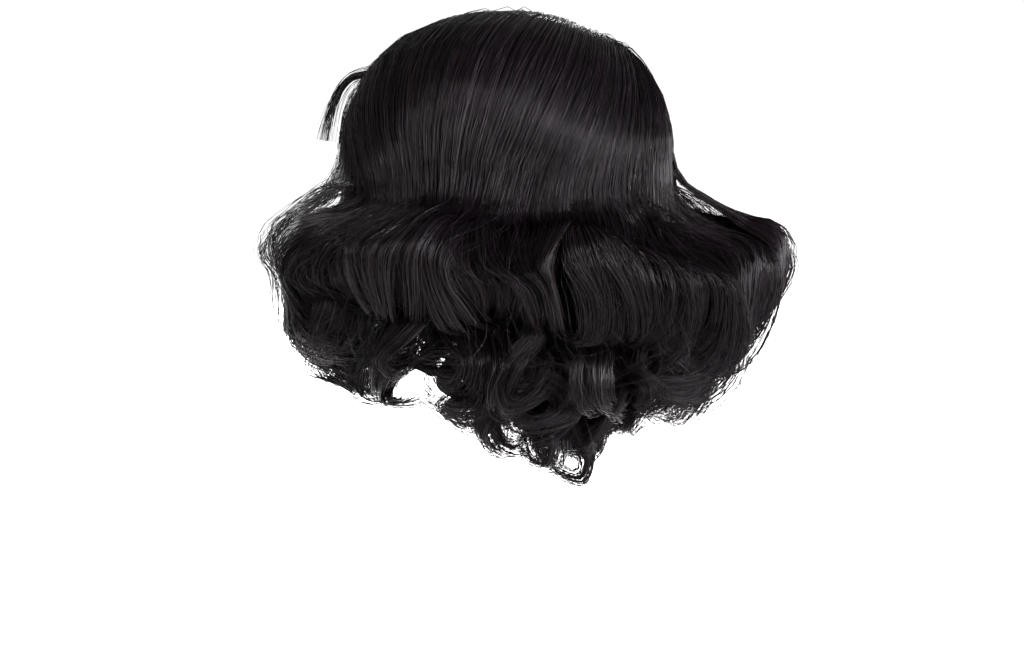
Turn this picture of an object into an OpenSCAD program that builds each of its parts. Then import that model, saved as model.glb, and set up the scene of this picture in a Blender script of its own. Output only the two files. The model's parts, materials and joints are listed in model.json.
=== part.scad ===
// Costume wig: a short curled style on a machine-made cap.
// Millimetres. The origin is the centre of the head opening, level with the tops of the
// ears. +Z is up to the crown, -Y is the face, +X is the wearer's left.

/* [Head fit] */
// Half of the head's width
head_half_w = 78; // [72:1:84]
// Half length of the head's front, from the back circle's centre to the forehead
head_front = 108; // [100:1:116]
// Height of the top of the head
head_top = 114; // [106:1:118]
// Height of the head's widest level
head_level = 45; // [38:1:50]
// How far under the widest level the lower head's curve would close
head_low = 220; // [200:5:240]
// How far the back circle's centre sits behind the origin
back_shift = 15; // [10:1:20]

/* [Cap] */
// Thickness of the cap's fabric
cloth = 0.9; // [0.6:0.1:1]
// Height of the front and nape bands
band_h = 18; // [14:1:22]
// Height of the lower edge of the crown net
net_edge = 36; // [32:1:40]
// Width of a vertical ribbon
ribbon_w = 8; // [6:1:10]
// Height of a sewn weft header
weft_h = 3; // [2:0.5:4]
// Distance between two weft rows
weft_pitch = 12; // [11:1:13]

/* [Size adjusters] */
// Width of the strap
strap_w = 9; // [7:0.5:10]
// Angle that the strap travels around the nape
strap_travel = 22; // [16:1:24]

/* [Comb clips] */
// Number of teeth on each comb
teeth = 10; // [8:1:12]
// Length of a tooth
tooth_l = 11; // [9:1:12]
// Length of a clip
clip_l = 30; // [26:1:34]

/* [Hair] */
// Thickness of the smooth hair over the crown
crown_hair = 12.5; // [11:0.5:16]
// Distance of the curls' outer face from the head's axis
curl_reach = 148; // [130:1:152]
// Height of the lowest point of the main curls
curl_foot = -100; // [-110:1:-95]
// Height of the lowest point of the nape curls
nape_foot = -150; // [-160:1:-140]

/* [Hidden] */
$fn = 48;
ear_angles = [104, 109]; // where the panel over the ear ends and the nape begins
tab_angles = [64, 88];   // front and rear edge of an ear tab
tab_top = -3;            // height of an ear tab's hinge line
gap = 0.1;               // space between two layers that are sewn together
layer_in = 0;            // offset of the cap's inner face from the head
layer_weft = cloth * 2 + 2 * gap;
hair_in = 3.8;           // offset of the smooth hair's inner face from the head
curl_in = 11;            // offset of the curls' inner face from the head
neck_r = 66;             // clear radius kept around the neck
nape_top = -96;          // height where the nape curls begin
curl_gap = 0.9;          // space between the smooth hair's lower edge and the curls
groove = 0.025;          // depth of the grooves between locks, as a share of the reach
seam = 0.25;             // half of the gap between two neighbouring hair pieces, in degrees
skin_x = -35;            // place of the parting, on the wearer's right

// Height of the cap's edge at each angle from the face
RIM = [[0, 48], [28, 46], [44, 39], [56, 18], [64, -20], [72, -33], [82, -33], [88, -22],
       [92, -6], [98, -3], [104, -6], [107, -34], [111, -54], [118, -66], [132, -71], [180, -74]];
// Offset of the smooth hair's outer face at each angle, over crown_hair. The hair beyond the
// parting stands higher
RAISED = [[0, 2], [50, 4], [90, 2], [130, 0], [190, 0], [222, 3], [262, 3], [310, 2], [360, 2]];
// Height of the smooth hair's lower edge at each angle from the face
HAIR_EDGE = [[0, 56], [36, 52], [50, 36], [60, 26], [75, 24], [180, 24]];
// Reach of the curls' outer face at each angle, as a share of curl_reach
REACH = [[36, 0.86], [60, 1], [90, 1], [120, 0.97], [150, 0.98], [180, 1],
         [215, 1.1], [250, 1.06], [285, 1], [324, 0.86]];

// ---- the head form ----

// Angles run from the face: 0 is the front, 90 the wearer's left, 180 the back.
function folded(t) = let (a = (t % 360 + 360) % 360) a > 180 ? 360 - a : a;
function half_length(t) = folded(t) < 90 ? head_front : head_half_w;
function closing(z) = z >= head_level ? head_top - head_level : head_low;
function girth(z) = sqrt(max(0, 1 - pow((z - head_level) / closing(z), 2)));
function unit(v) = v / norm(v);

// A point on the head at angle t and height z, moved off along the surface's normal
function on_head(t, z, off = 0) =
    let (k = girth(z), b = half_length(t), c = closing(z))
    [head_half_w * k * sin(t), back_shift - b * k * cos(t), z]
    + off * unit([k * sin(t) / head_half_w, -k * cos(t) / b, (z - head_level) / c / c]);

// A point on the top of the head above (x, y)
function on_top(x, y, off = 0) =
    let (b = y < back_shift ? head_front : head_half_w, c = head_top - head_level,
         h = c * sqrt(1 - pow(x / head_half_w, 2) - pow((y - back_shift) / b, 2)))
    [x, y, head_level + h] + off * unit([x / head_half_w / head_half_w,
                                         (y - back_shift) / b / b, h / c / c]);

// Distance of the head's surface from the back circle's axis, straight out at angle t
function head_reach(t, z) =
    girth(z) / sqrt(pow(sin(t) / head_half_w, 2) + pow(cos(t) / half_length(t), 2));
function polar(t, r, z) = [r * sin(t), back_shift - r * cos(t), z];
function rim(t) = lookup(folded(t), RIM);

// ---- builders ----

// A closed solid between two grids of points, with the same number of rows and columns
module between(inner, outer) {
    rows = len(inner);
    cols = len(inner[0]);
    count = rows * cols;
    points = [for (g = [inner, outer]) for (row = g) for (p = row) p];
    function at(r, c, side) = side * count + r * cols + c;
    faces = concat(
        [for (r = [0:rows - 2]) for (c = [0:cols - 2])
            [at(r, c, 0), at(r, c + 1, 0), at(r + 1, c + 1, 0), at(r + 1, c, 0)]],
        [for (r = [0:rows - 2]) for (c = [0:cols - 2])
            [at(r, c, 1), at(r + 1, c, 1), at(r + 1, c + 1, 1), at(r, c + 1, 1)]],
        [for (c = [0:cols - 2]) each [
            [at(0, c, 1), at(0, c + 1, 1), at(0, c + 1, 0), at(0, c, 0)],
            [at(rows - 1, c, 0), at(rows - 1, c + 1, 0), at(rows - 1, c + 1, 1), at(rows - 1, c, 1)]]],
        [for (r = [0:rows - 2]) each [
            [at(r, 0, 0), at(r + 1, 0, 0), at(r + 1, 0, 1), at(r, 0, 1)],
            [at(r, cols - 1, 1), at(r + 1, cols - 1, 1), at(r + 1, cols - 1, 0), at(r, cols - 1, 0)]]]);
    polyhedron(points, faces, convexity = 6);
}

// A closed solid swept through rings of points, each ring the same length
module through(rings) {
    n = len(rings[0]);
    last = len(rings) - 1;
    points = [for (ring = rings) for (p = ring) p];
    faces = concat(
        [for (i = [0:last - 1]) for (k = [0:n - 1])
            [i * n + k, (i + 1) * n + k, (i + 1) * n + (k + 1) % n, i * n + (k + 1) % n]],
        [[for (k = [0:n - 1]) k]],
        [[for (k = [n - 1:-1:0]) last * n + k]]);
    polyhedron(points, faces, convexity = 6);
}

// A sheet of cloth on the head from angle t0 to t1, between two heights given for each angle
module sheet(t0, t1, low, high, off, thick, cols = 12, rows = 4) {
    function grid(o) = [for (r = [0:rows]) [for (c = [0:cols])
        let (t = t0 + (t1 - t0) * c / cols) on_head(t, low(t) + (high(t) - low(t)) * r / rows, o)]];
    between(grid(off), grid(off + thick));
}

// A strip of constant height around the head, thin and narrow, as a weft header is
module hoop(t0, t1, z, h, off, thick, cols) {
    through([for (c = [0:cols]) let (t = t0 + (t1 - t0) * c / cols)
        [on_head(t, z, off), on_head(t, z, off + thick),
         on_head(t, z + h, off + thick), on_head(t, z + h, off)]]);
}

// A dome-shaped shell from the crown down to an edge height given for each angle. Its outer
// face is at over(t, s), where s runs from 0 at the edge to 1 at the crown
module dome(t0, t1, edge, off, over, cols, rows) {
    whole = abs(t1 - t0) >= 360;
    lines = whole ? cols : cols + 1;
    function ring(r, side) = [for (c = [0:lines - 1])
        let (t = t0 + (t1 - t0) * c / cols, low = asin((edge(t) - head_level) / closing(edge(t))),
             up = low + (90 - low) * r / rows,
             z = head_level + (up < 0 ? head_low : head_top - head_level) * sin(up))
        on_head(t, z, side == 0 ? off : over(t, r / rows))];
    function apex(side) = [0, back_shift, head_top + (side == 0 ? off : over(t0, 1))];
    points = concat([for (side = [0, 1]) each concat(
        [for (r = [0:rows - 1]) each ring(r, side)], [apex(side)])]);
    layer = rows * lines + 1;
    function at(r, c, s) = s * layer + (r == rows ? rows * lines : r * lines + c % lines);
    last = whole ? lines - 1 : lines - 2;
    faces = concat(
        [for (r = [0:rows - 2]) for (c = [0:last]) each [
            [at(r, c, 0), at(r, c + 1, 0), at(r + 1, c + 1, 0), at(r + 1, c, 0)],
            [at(r, c, 1), at(r + 1, c, 1), at(r + 1, c + 1, 1), at(r, c + 1, 1)]]],
        [for (c = [0:last]) each [
            [at(rows - 1, c, 0), at(rows - 1, c + 1, 0), at(rows, c, 0)],
            [at(rows - 1, c + 1, 1), at(rows - 1, c, 1), at(rows, c, 1)],
            [at(0, c, 1), at(0, c + 1, 1), at(0, c + 1, 0), at(0, c, 0)]]],
        whole ? [] : [for (r = [0:rows - 1]) each [
            [at(r, 0, 0), at(r + 1, 0, 0), at(r + 1, 0, 1), at(r, 0, 1)],
            [at(r, lines - 1, 1), at(r + 1, lines - 1, 1), at(r + 1, lines - 1, 0), at(r, lines - 1, 0)]]]);
    polyhedron(points, faces, convexity = 6);
}

// A strip of the nape, exactly round about the back circle's axis. z0 to z1 along the
// surface, off0 to off1 outwards from the head
module nape_strip(t0, t1, z0, z1, off0, off1) {
    slope = atan2(head_half_w * (girth(z1) - girth(z0)), z1 - z0);
    function cut(z, off) =
        [head_half_w * girth(z) + off * cos(slope), z - off * sin(slope)];
    translate([0, back_shift, 0]) rotate([0, 0, t0 - 90]) rotate_extrude(angle = t1 - t0)
        polygon([cut(z0, off0), cut(z0, off1), cut(z1, off1), cut(z1, off0)]);
}

module mirrored(side) {
    if (side == "left") children();
    else mirror([1, 0, 0]) children();
}

// ---- the cap ----

// In front the net's edge is sewn over the top of the front band
sewn_over = 4;
band_gap = 0.4;
function net_low(t) = folded(t) < 56 ? max(rim(t) + band_h - sewn_over, net_edge) : net_edge;

module crown_net() {
    color("#1c1a1c") dome(0, 360, function (t) net_low(t), layer_in,
                            function (t, s) layer_in + cloth, 72, 14);
}

module parting_skin() {
    half_w = 9;
    y0 = -72;
    y1 = 34;
    function grid(o) = [for (r = [0:12]) [for (c = [0:4])
        on_top(skin_x + half_w * (c - 2) / 2, y0 + (y1 - y0) * r / 12, o)]];
    color("#c9a184") between(grid(layer_weft), grid(layer_weft + cloth));
}

module front_band() {
    color("#2a2224")
        sheet(-55, 55, function (t) rim(t), function (t) rim(t) + band_h,
              layer_in - cloth - band_gap, cloth, 36, 3);
}

module nape_band() {
    color("#2a2224")
        sheet(ear_angles[1] + 1, 359 - ear_angles[1], function (t) rim(t), function (t) -46,
              cloth + gap, cloth, 36, 3);
}

module side_panel(side) {
    color("#201c1e") mirrored(side)
        sheet(57, ear_angles[1], function (t) max(rim(t), tab_top + 1.5),
              function (t) net_edge - 0.5, layer_in, cloth, 18, 4);
}

module back_ribbon(n) {
    middle = 180 + (n - 3) * 28;
    half = ribbon_w / 2 / head_half_w * 180 / PI;
    color("#181618")
        sheet(middle - half, middle + half, function (t) -45.5, function (t) net_edge + 10,
              cloth + gap, cloth, 2, 10);
}

module weft_track(n) {
    z = net_edge - 8 - (n - 1) * weft_pitch;
    start = z > 10 ? 70 : z > -2 ? 94 : 112;
    color("#0e0d0e") hoop(start, 360 - start, z, weft_h, layer_weft, 1.5, 44);
}

// Each row stops short of the parting skin
CROWN_ROWS = [[52, 50, 310], [68, 32, 312], [84, 28, 300], [98, 24, 205]];

module crown_weft_rings() {
    color("#0e0d0e") for (row = CROWN_ROWS)
        hoop(row[1], row[2], row[0], weft_h, layer_weft, 1.4, 30);
}

// ---- the ear tabs ----

function tab_low(t) = rim(t);

module tab_layer(side, off, thick, inset) {
    mirrored(side)
        sheet(tab_angles[0] + inset, tab_angles[1] - inset,
              function (t) min(tab_low(t) + inset * 1.5, tab_top - 3 - inset),
              function (t) tab_top - inset, off, thick, 10, 4);
}

module ear_tab(side) {
    color("#2a2224") tab_layer(side, 1.0, 0.8, 0);
}

module tab_lining(side) {
    color("#4a3a36") tab_layer(side, -0.6, 0.7, 0);
}

module tab_stay(side) {
    color("#b8bcc0") mirrored(side)
        sheet(74, 78, function (t) tab_top - 25, function (t) tab_top - 3, 0.3, 0.5, 2, 6);
}

// ---- the size adjusters, inside the nape ----

casing_angles = [111, 139];
strap_low = -61;
pad_in = 0;   // offset of the loop pad's inner face
strap_in = -2.2;
strap_thick = 0.9;

module loop_pad(side) {
    color("#343036") mirrored(side)
        nape_strip(140, 175, strap_low - 1, strap_low + strap_w + 1, pad_in, 0.9);
}

module strap_casing(side) {
    wall = 0.5;
    color("#2a2224") mirrored(side) difference() {
        nape_strip(casing_angles[0], casing_angles[1], strap_low - 1.2, strap_low + strap_w + 1.2,
                   strap_in - 2 * wall, 0.9);
        nape_strip(casing_angles[0] + 0.6, casing_angles[1] + 1, strap_low - 0.5,
                   strap_low + strap_w + 0.5, strap_in - 0.3, strap_in + strap_thick + 0.3);
    }
}

module adjuster_strap(side) {
    color("#161416") mirrored(side)
        nape_strip(casing_angles[0] + 2, 150, strap_low, strap_low + strap_w,
                   strap_in, strap_in + strap_thick);
}

module hook_patch(side) {
    color("#3c383e") mirrored(side)
        nape_strip(140.5, 149.5, strap_low + 0.5, strap_low + strap_w - 0.5,
                   strap_in + strap_thick, pad_in - 0.3);
}

// ---- the comb clips ----

bar_r = 0.65;
bore_r = 0.95;
lug_r = 1.6;
lug_w = 1.6;
plate_h = 3.6;
plate_t = 0.6;
// distance of a clip's pivot from the cap's inner face, so its straight ends clear the curve
front_clip_off = 5.6;
side_clip_off = 4.2;

// Places a clip on the cap: its x runs along the comb, y towards the crown, z into the head
module clip_at(side) {
    t = side == "front" ? 0 : 62;
    z = side == "front" ? 74 : 42;
    if (side == "right") mirror([1, 0, 0]) clip_at("left") children();
    else {
        p = on_head(t, z, side == "front" ? -front_clip_off : -side_clip_off);
        out = unit(on_head(t, z, 1) - on_head(t, z, 0));
        along = unit([-out[1], out[0], 0]);
        up = cross(out, along);
        multmatrix([[along[0], up[0], -out[0], p[0]],
                    [along[1], up[1], -out[1], p[1]],
                    [along[2], up[2], -out[2], p[2]],
                    [0, 0, 0, 1]]) mirror([1, 0, 0]) children();
    }
}

module clip_frame(side) {
    color("#c4c7cb") clip_at(side) {
        difference() {
            union() {
                translate([-clip_l / 2, -plate_h - lug_r, -plate_t / 2]) cube([clip_l, plate_h, plate_t]);
                for (x = [-clip_l / 2, clip_l / 2 - lug_w]) {
                    translate([x, 0, 0]) rotate([0, 90, 0]) cylinder(r = lug_r, h = lug_w);
                    translate([x, -lug_r - 0.5, -plate_t / 2]) cube([lug_w, lug_r + 0.5, plate_t]);
                }
            }
            translate([-clip_l / 2 - 1, 0, 0]) rotate([0, 90, 0]) cylinder(r = bore_r, h = clip_l + 2);
            for (x = [-8, 0, 8])
                translate([x, -lug_r - plate_h / 2, -plate_t]) cylinder(r = 0.7, h = 2 * plate_t);
        }
    }
}

module clip_comb(side) {
    pitch = (clip_l - 2 * lug_w - 3) / (teeth - 1);
    color("#b4b7bb") clip_at(side) {
        translate([-clip_l / 2 - 0.4, 0, 0]) rotate([0, 90, 0]) cylinder(r = bar_r, h = clip_l + 0.8);
        for (k = [0:teeth - 1]) translate([(k - (teeth - 1) / 2) * pitch, 0, 0]) rotate([-90, 0, 0]) {
            cylinder(r = 0.45, h = tooth_l);
            translate([0, 0, tooth_l]) sphere(r = 0.45);
        }
    }
}

// The soft sleeve that grips the hair, on the frame's outer edge
module clip_sleeve(side) {
    color("#2c2a2c") clip_at(side) difference() {
        translate([-clip_l / 2 + 3, -plate_h - lug_r - 0.4, 0]) rotate([0, 90, 0])
            cylinder(r = 1.1, h = clip_l - 6);
        translate([-clip_l / 2, -plate_h - lug_r - 0.05, -plate_t / 2 - 0.05])
            cube([clip_l, 3, plate_t + 0.1]);
    }
}

module size_label() {
    color("#e6e2da") nape_strip(176.5, 183.5, -60, -50, 0.3, 0.7);
}

// ---- the hair ----

function hair_edge(t) = lookup(folded(t), HAIR_EDGE);
function hair_out(t, s) = crown_hair + lookup(t, RAISED) * sin(180 * min(1, 0.35 + s));

module crown_part(t0, t1) {
    color("#0b090a")
        dome(t0 + seam, t1 - seam, function (t) hair_edge(t), hair_in,
             function (t, s) hair_out(t, s), 20, 9);
}

// A swept tube that leaves the fringe at the wearer's left and falls beside the temple
module fringe_lock() {
    steps = 12;
    root = on_head(30, 78, crown_hair + 6.5);
    path = [for (k = [0:steps]) let (s = k / steps)
        root + [40 * s - 9 * s * s, -8.5 * sin(100 * s), 4 * sin(150 * s) - 42 * s * s]];
    ends = concat([path[0] * 2 - path[1]], path, [path[steps] * 2 - path[steps - 1]]);
    color("#0b090a") through([for (k = [0:steps])
        let (along = unit(ends[k + 2] - ends[k]), side = unit(cross(along, [0, 0, 1])),
             up = cross(side, along), r = 6 * sqrt(sin(14 + 150 * k / steps)))
        [for (a = [0:45:315]) path[k] + side * r * cos(a) + up * r * 0.6 * sin(a)]]);
}

// A barrel of curls between two angles. Its section bulges out from the cap, it swells in
// the middle of its length, and every second column is drawn in to part the locks
module curl(t0, t1, top, foot, reach, inner) {
    cols = 12;
    color("#0b090a") through([for (c = [0:cols])
        let (s = c / cols, t = t0 + seam + (t1 - t0 - 2 * seam) * s,
             half = (top(t) - foot(t, s)) / 2, mid = (top(t) + foot(t, s)) / 2,
             swell = 0.92 + 0.08 * sin(180 * s) - groove * (c % 2), far = reach(t) * swell)
        concat(
            [for (a = [-90:18:90]) let (z = mid + half * sin(a), near = inner(t, z))
                polar(t, max(near + 4, near + (far - near) * pow(max(0, cos(a)), 0.6)), z)],
            [for (a = [90:-18:-90]) let (z = mid + half * sin(a)) polar(t, inner(t, z), z)])]);
}

function curl_near(t, z) = max(neck_r, head_reach(t, z) + curl_in);
function curl_far(t) = curl_reach * lookup(t < 36 ? t + 360 : t, REACH);
function nape_far(t) = 110 - 8 * abs(t - 180) / 68;
function nape_near(z) = neck_r + 5 * pow((z - nape_top) / (nape_foot - nape_top), 2);

// The curls over the back hang lower than those at the sides
module main_curl(n) {
    drop = n > 2 && n < 7 ? -6 : 0;
    curl(36 * n, 36 * (n + 1), function (t) hair_edge(t) - curl_gap,
         function (t, s) curl_foot + 8 + drop - 8 * sin(180 * s),
         function (t) curl_far(t), function (t, z) curl_near(t, z));
}

// The curls at the nape hang in a V, longest in the middle
module nape_curl(n) {
    lift = n == 1 || n == 4 ? 16 : 0;
    curl(112 + 34 * (n - 1), 112 + 34 * n, function (t) nape_top - 12.5,
         function (t, s) nape_foot + 8 + lift - 8 * sin(180 * s),
         function (t) nape_far(t), function (t, z) nape_near(z));
}

// ---- one line for each node ----

crown_net();
parting_skin();
front_band();
nape_band();
side_panel("left");  // left_side_panel
side_panel("right");  // right_side_panel
for (n = [1:5]) back_ribbon(n);
for (n = [1:7]) weft_track(n);
crown_weft_rings();
for (side = ["left", "right"]) {
    ear_tab(side);
    tab_lining(side);
    tab_stay(side);
    loop_pad(side);
    strap_casing(side);
    adjuster_strap(side);
    hook_patch(side);
}
for (side = ["front", "left", "right"]) {
    clip_frame(side);
    clip_comb(side);
    clip_sleeve(side);
}
size_label();
crown_part(0, 120);  // crown_hair_left
crown_part(240, 360);  // crown_hair_right
crown_part(120, 240);  // crown_hair_back
fringe_lock();
main_curl(1);  // left_front_curl
main_curl(2);  // left_side_curl
main_curl(3);  // left_back_curl
main_curl(4);  // back_left_curl
main_curl(5);  // back_right_curl
main_curl(6);  // right_back_curl
main_curl(7);  // right_side_curl
main_curl(8);  // right_front_curl
for (n = [1:4]) nape_curl(n);
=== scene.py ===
import json
import math

import bpy
import numpy as np
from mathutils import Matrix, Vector


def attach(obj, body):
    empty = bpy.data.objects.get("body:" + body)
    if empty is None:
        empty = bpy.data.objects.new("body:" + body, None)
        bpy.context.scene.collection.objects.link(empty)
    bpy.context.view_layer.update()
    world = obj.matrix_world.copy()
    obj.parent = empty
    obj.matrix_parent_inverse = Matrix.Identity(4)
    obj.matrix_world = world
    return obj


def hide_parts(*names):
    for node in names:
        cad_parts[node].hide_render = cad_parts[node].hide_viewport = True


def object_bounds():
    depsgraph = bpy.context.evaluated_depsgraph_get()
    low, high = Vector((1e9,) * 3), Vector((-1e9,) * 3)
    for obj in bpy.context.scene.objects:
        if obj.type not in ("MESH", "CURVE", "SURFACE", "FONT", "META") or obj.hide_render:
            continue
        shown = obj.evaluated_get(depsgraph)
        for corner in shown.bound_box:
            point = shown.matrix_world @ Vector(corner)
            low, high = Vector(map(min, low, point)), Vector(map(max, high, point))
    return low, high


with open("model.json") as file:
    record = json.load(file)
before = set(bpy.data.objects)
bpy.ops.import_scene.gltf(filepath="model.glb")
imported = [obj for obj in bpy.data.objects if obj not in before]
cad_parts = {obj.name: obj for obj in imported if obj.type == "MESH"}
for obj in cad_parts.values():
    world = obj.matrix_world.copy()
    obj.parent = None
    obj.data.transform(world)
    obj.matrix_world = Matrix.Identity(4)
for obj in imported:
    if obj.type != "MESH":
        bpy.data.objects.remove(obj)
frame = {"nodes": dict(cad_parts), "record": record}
cad_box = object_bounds()
rng = np.random.default_rng(11)
MM = 0.001
STRAND_SHARE = 1.0

# ---------------------------------------------------------------- camera and light
PHOTO_AZIMUTH, PHOTO_ELEVATION, PHOTO_DISTANCE = 140, 9, 1.50
LIGHT_TARGET = Vector((0, 0, -0.02))

scene = bpy.context.scene
scene.view_settings.view_transform = "Standard"


def seen_from(azimuth, elevation):
    """The direction from the wig to a point at this azimuth (0 is the face) and elevation."""
    a, e = math.radians(azimuth), math.radians(elevation)
    return Vector((math.sin(a) * math.cos(e), -math.cos(a) * math.cos(e), math.sin(e)))


def aim(obj, target):
    obj.rotation_euler = (target - obj.location).to_track_quat("-Z", "Y").to_euler()


camera_target = Vector((-0.0035, 0.003, -0.0655))
camera_data = bpy.data.cameras.new("camera")
camera_data.lens = 85
camera_data.sensor_width = 36
camera = bpy.data.objects.new("camera", camera_data)
scene.collection.objects.link(camera)
camera.location = camera_target + seen_from(PHOTO_AZIMUTH, PHOTO_ELEVATION) * PHOTO_DISTANCE
aim(camera, camera_target)
scene.camera = camera


def area_light(name, azimuth, elevation, distance, size, watts, colour=(1, 1, 1)):
    data = bpy.data.lights.new(name, "AREA")
    data.shape = "RECTANGLE"
    data.size, data.size_y = size
    data.energy = watts
    data.color = colour
    light = bpy.data.objects.new(name, data)
    scene.collection.objects.link(light)
    light.location = LIGHT_TARGET + seen_from(azimuth, elevation) * distance
    aim(light, LIGHT_TARGET)


area_light("key", 165, 10, 1.7, (0.55, 0.35), 115, (1, 0.93, 0.98))
area_light("high_key", 148, 34, 1.8, (0.35, 0.3), 100, (1, 0.92, 0.97))
area_light("right_side", 212, 8, 1.9, (1.1, 0.8), 240, (1, 0.96, 1))
area_light("fill", 82, 14, 2.0, (0.9, 0.8), 100)
area_light("front_soft", 338, 14, 2.2, (1.2, 1.0), 100)

world = bpy.data.worlds.new("studio")
world.use_nodes = True
world.node_tree.nodes["Background"].inputs["Color"].default_value = (1, 1, 1, 1)
world.node_tree.nodes["Background"].inputs["Strength"].default_value = 1.0
scene.world = world

# ---------------------------------------------------------------- materials


def shader_of(material):
    return material.node_tree.nodes["Principled BSDF"]


def hair_fibre(name, colour, rough, specular):
    """One tone of fibre. The tone changes from strand to strand, so it is set on the shader."""
    material = bpy.data.materials.new(name)
    material.use_nodes = True
    shader = shader_of(material)
    shader.inputs["Base Color"].default_value = (*colour, 1)
    shader.inputs["Roughness"].default_value = rough
    shader.inputs["Specular IOR Level"].default_value = specular
    return material


FIBRES = [
    hair_fibre("fibre_black", (0.0005, 0.0004, 0.0005), 0.26, 0.035),
    hair_fibre("fibre_soft_black", (0.0009, 0.0006, 0.0008), 0.30, 0.045),
    hair_fibre("fibre_plum", (0.0018, 0.0009, 0.0014), 0.24, 0.055),
    hair_fibre("fibre_grey", (0.0018, 0.0013, 0.0017), 0.32, 0.06),
    hair_fibre("fibre_gloss", (0.0006, 0.0004, 0.0005), 0.19, 0.065),
]
# How often each fibre tone is drawn. The second mix is painted shade: it has fewer of the lighter and glossier
# tones where the rolls shade the hair.
LIT_SHARE = [0.34, 0.26, 0.16, 0.10, 0.14]     # the crown and the rolls, where the light falls
PAINTED_SHADE_SHARE = [0.60, 0.24, 0.08, 0.03, 0.05]  # painted shade: a darker mix for the curls below the rolls, which the rolls shade


def wave_factor(nodes, links, vector, scale):
    """Two crossed waves multiplied, for woven and knitted cloth."""
    product = nodes.new("ShaderNodeMath")
    product.operation = "MULTIPLY"
    for slot, bands in enumerate(("Z", "DIAGONAL")):
        wave = nodes.new("ShaderNodeTexWave")
        wave.bands_direction = bands
        wave.inputs["Scale"].default_value = scale
        wave.inputs["Distortion"].default_value = 1.2
        wave.inputs["Detail"].default_value = 2.0
        links.new(vector, wave.inputs["Vector"])
        links.new(wave.outputs["Fac"], product.inputs[slot])
    return product.outputs[0]


def noise_factor(nodes, links, vector, scale):
    noise = nodes.new("ShaderNodeTexNoise")
    noise.inputs["Scale"].default_value = scale
    noise.inputs["Detail"].default_value = 4.0
    links.new(vector, noise.inputs["Vector"])
    return noise.outputs["Fac"]


def patterned(name, low, high, scale, rough, bump, stretch=(1, 1, 1), woven=False):
    """Two tones by a stretched noise or weave, with roughness and bump from the same pattern."""
    material = bpy.data.materials.new(name)
    material.use_nodes = True
    nodes, links, shader = material.node_tree.nodes, material.node_tree.links, shader_of(material)
    coordinates = nodes.new("ShaderNodeTexCoord")
    mapping = nodes.new("ShaderNodeMapping")
    mapping.inputs["Scale"].default_value = stretch
    links.new(coordinates.outputs["Object"], mapping.inputs["Vector"])
    factor = (wave_factor if woven else noise_factor)(nodes, links, mapping.outputs["Vector"], scale)
    ramp = nodes.new("ShaderNodeValToRGB")
    for element, colour, position in zip(ramp.color_ramp.elements, (low, high), (0.3, 0.7)):
        element.color = (*colour, 1)
        element.position = position
    links.new(factor, ramp.inputs["Fac"])
    links.new(ramp.outputs["Color"], shader.inputs["Base Color"])
    rough_range = nodes.new("ShaderNodeMapRange")
    rough_range.inputs["To Min"].default_value = rough - 0.08
    rough_range.inputs["To Max"].default_value = rough + 0.08
    links.new(factor, rough_range.inputs["Value"])
    links.new(rough_range.outputs["Result"], shader.inputs["Roughness"])
    relief = nodes.new("ShaderNodeBump")
    relief.inputs["Strength"].default_value = bump
    relief.inputs["Distance"].default_value = 0.0004
    links.new(factor, relief.inputs["Height"])
    links.new(relief.outputs["Normal"], shader.inputs["Normal"])
    return material


HAIR_MASS = patterned("hair_mass", (0.0006, 0.0005, 0.0006), (0.0016, 0.0012, 0.0014), 900, 0.7, 0.6,
                      (1, 1, 0.07))
shader_of(HAIR_MASS).inputs["Specular IOR Level"].default_value = 0.015
STEEL = patterned("plated_steel", (0.45, 0.46, 0.48), (0.62, 0.63, 0.65), 300, 0.3, 0.05, (1, 1, 6))
shader_of(STEEL).inputs["Metallic"].default_value = 1.0

SLOT_MATERIALS = {
    "hair": HAIR_MASS,
    "steel": STEEL,
    "net": patterned("elastic_net", (0.006, 0.005, 0.006), (0.035, 0.03, 0.034), 700, 0.7, 0.9, woven=True),
    "band": patterned("band_cloth", (0.016, 0.013, 0.015), (0.05, 0.042, 0.047), 900, 0.75, 0.7, woven=True),
    "weft": patterned("weft_header", (0.004, 0.0035, 0.004), (0.03, 0.025, 0.028), 1100, 0.6, 1.0, woven=True),
    "skin": patterned("parting_cloth", (0.50, 0.33, 0.21), (0.66, 0.47, 0.33), 600, 0.62, 0.3),
    "lining": patterned("soft_lining", (0.07, 0.045, 0.038), (0.14, 0.10, 0.085), 1500, 0.85, 0.8),
    "sleeve": patterned("silicone", (0.012, 0.012, 0.013), (0.025, 0.025, 0.027), 200, 0.35, 0.05),
    "loop": patterned("loop_pile", (0.02, 0.017, 0.02), (0.09, 0.08, 0.088), 1600, 0.92, 1.0),
    "hook": patterned("hook_tape", (0.02, 0.018, 0.02), (0.10, 0.09, 0.10), 1900, 0.6, 1.0, woven=True),
    "strap": patterned("knitted_elastic", (0.008, 0.007, 0.008), (0.05, 0.045, 0.05), 1300, 0.8, 0.9,
                       (1, 1, 2.5), woven=True),
    "label": patterned("label_cloth", (0.62, 0.60, 0.56), (0.82, 0.80, 0.76), 1500, 0.8, 0.5, woven=True),
}
for row in frame["record"]["subparts"]:
    node = frame["nodes"][row["node"]]
    node.data.materials.clear()
    node.data.materials.append(SLOT_MATERIALS[row["material_slot"]])

# ---------------------------------------------------------------- the head form, in millimetres
# Four quarter ellipsoids about one centre, as in the CAD model. Angles t are in degrees about the
# centre's vertical line, from the face towards the wearer's left.
HALF_WIDTH = 78.0     # also the half length behind the centre
FACE_DEPTH = 108.0    # half length in front of the centre
CENTRE_Y = 15.0
CENTRE_Z = 45.0
TOP = 114.0 - CENTRE_Z
BELOW = 220.0
UP = np.array([0.0, 0.0, 1.0])


def unit(v):
    return v / np.maximum(np.linalg.norm(v, axis=-1, keepdims=True), 1e-9)


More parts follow.
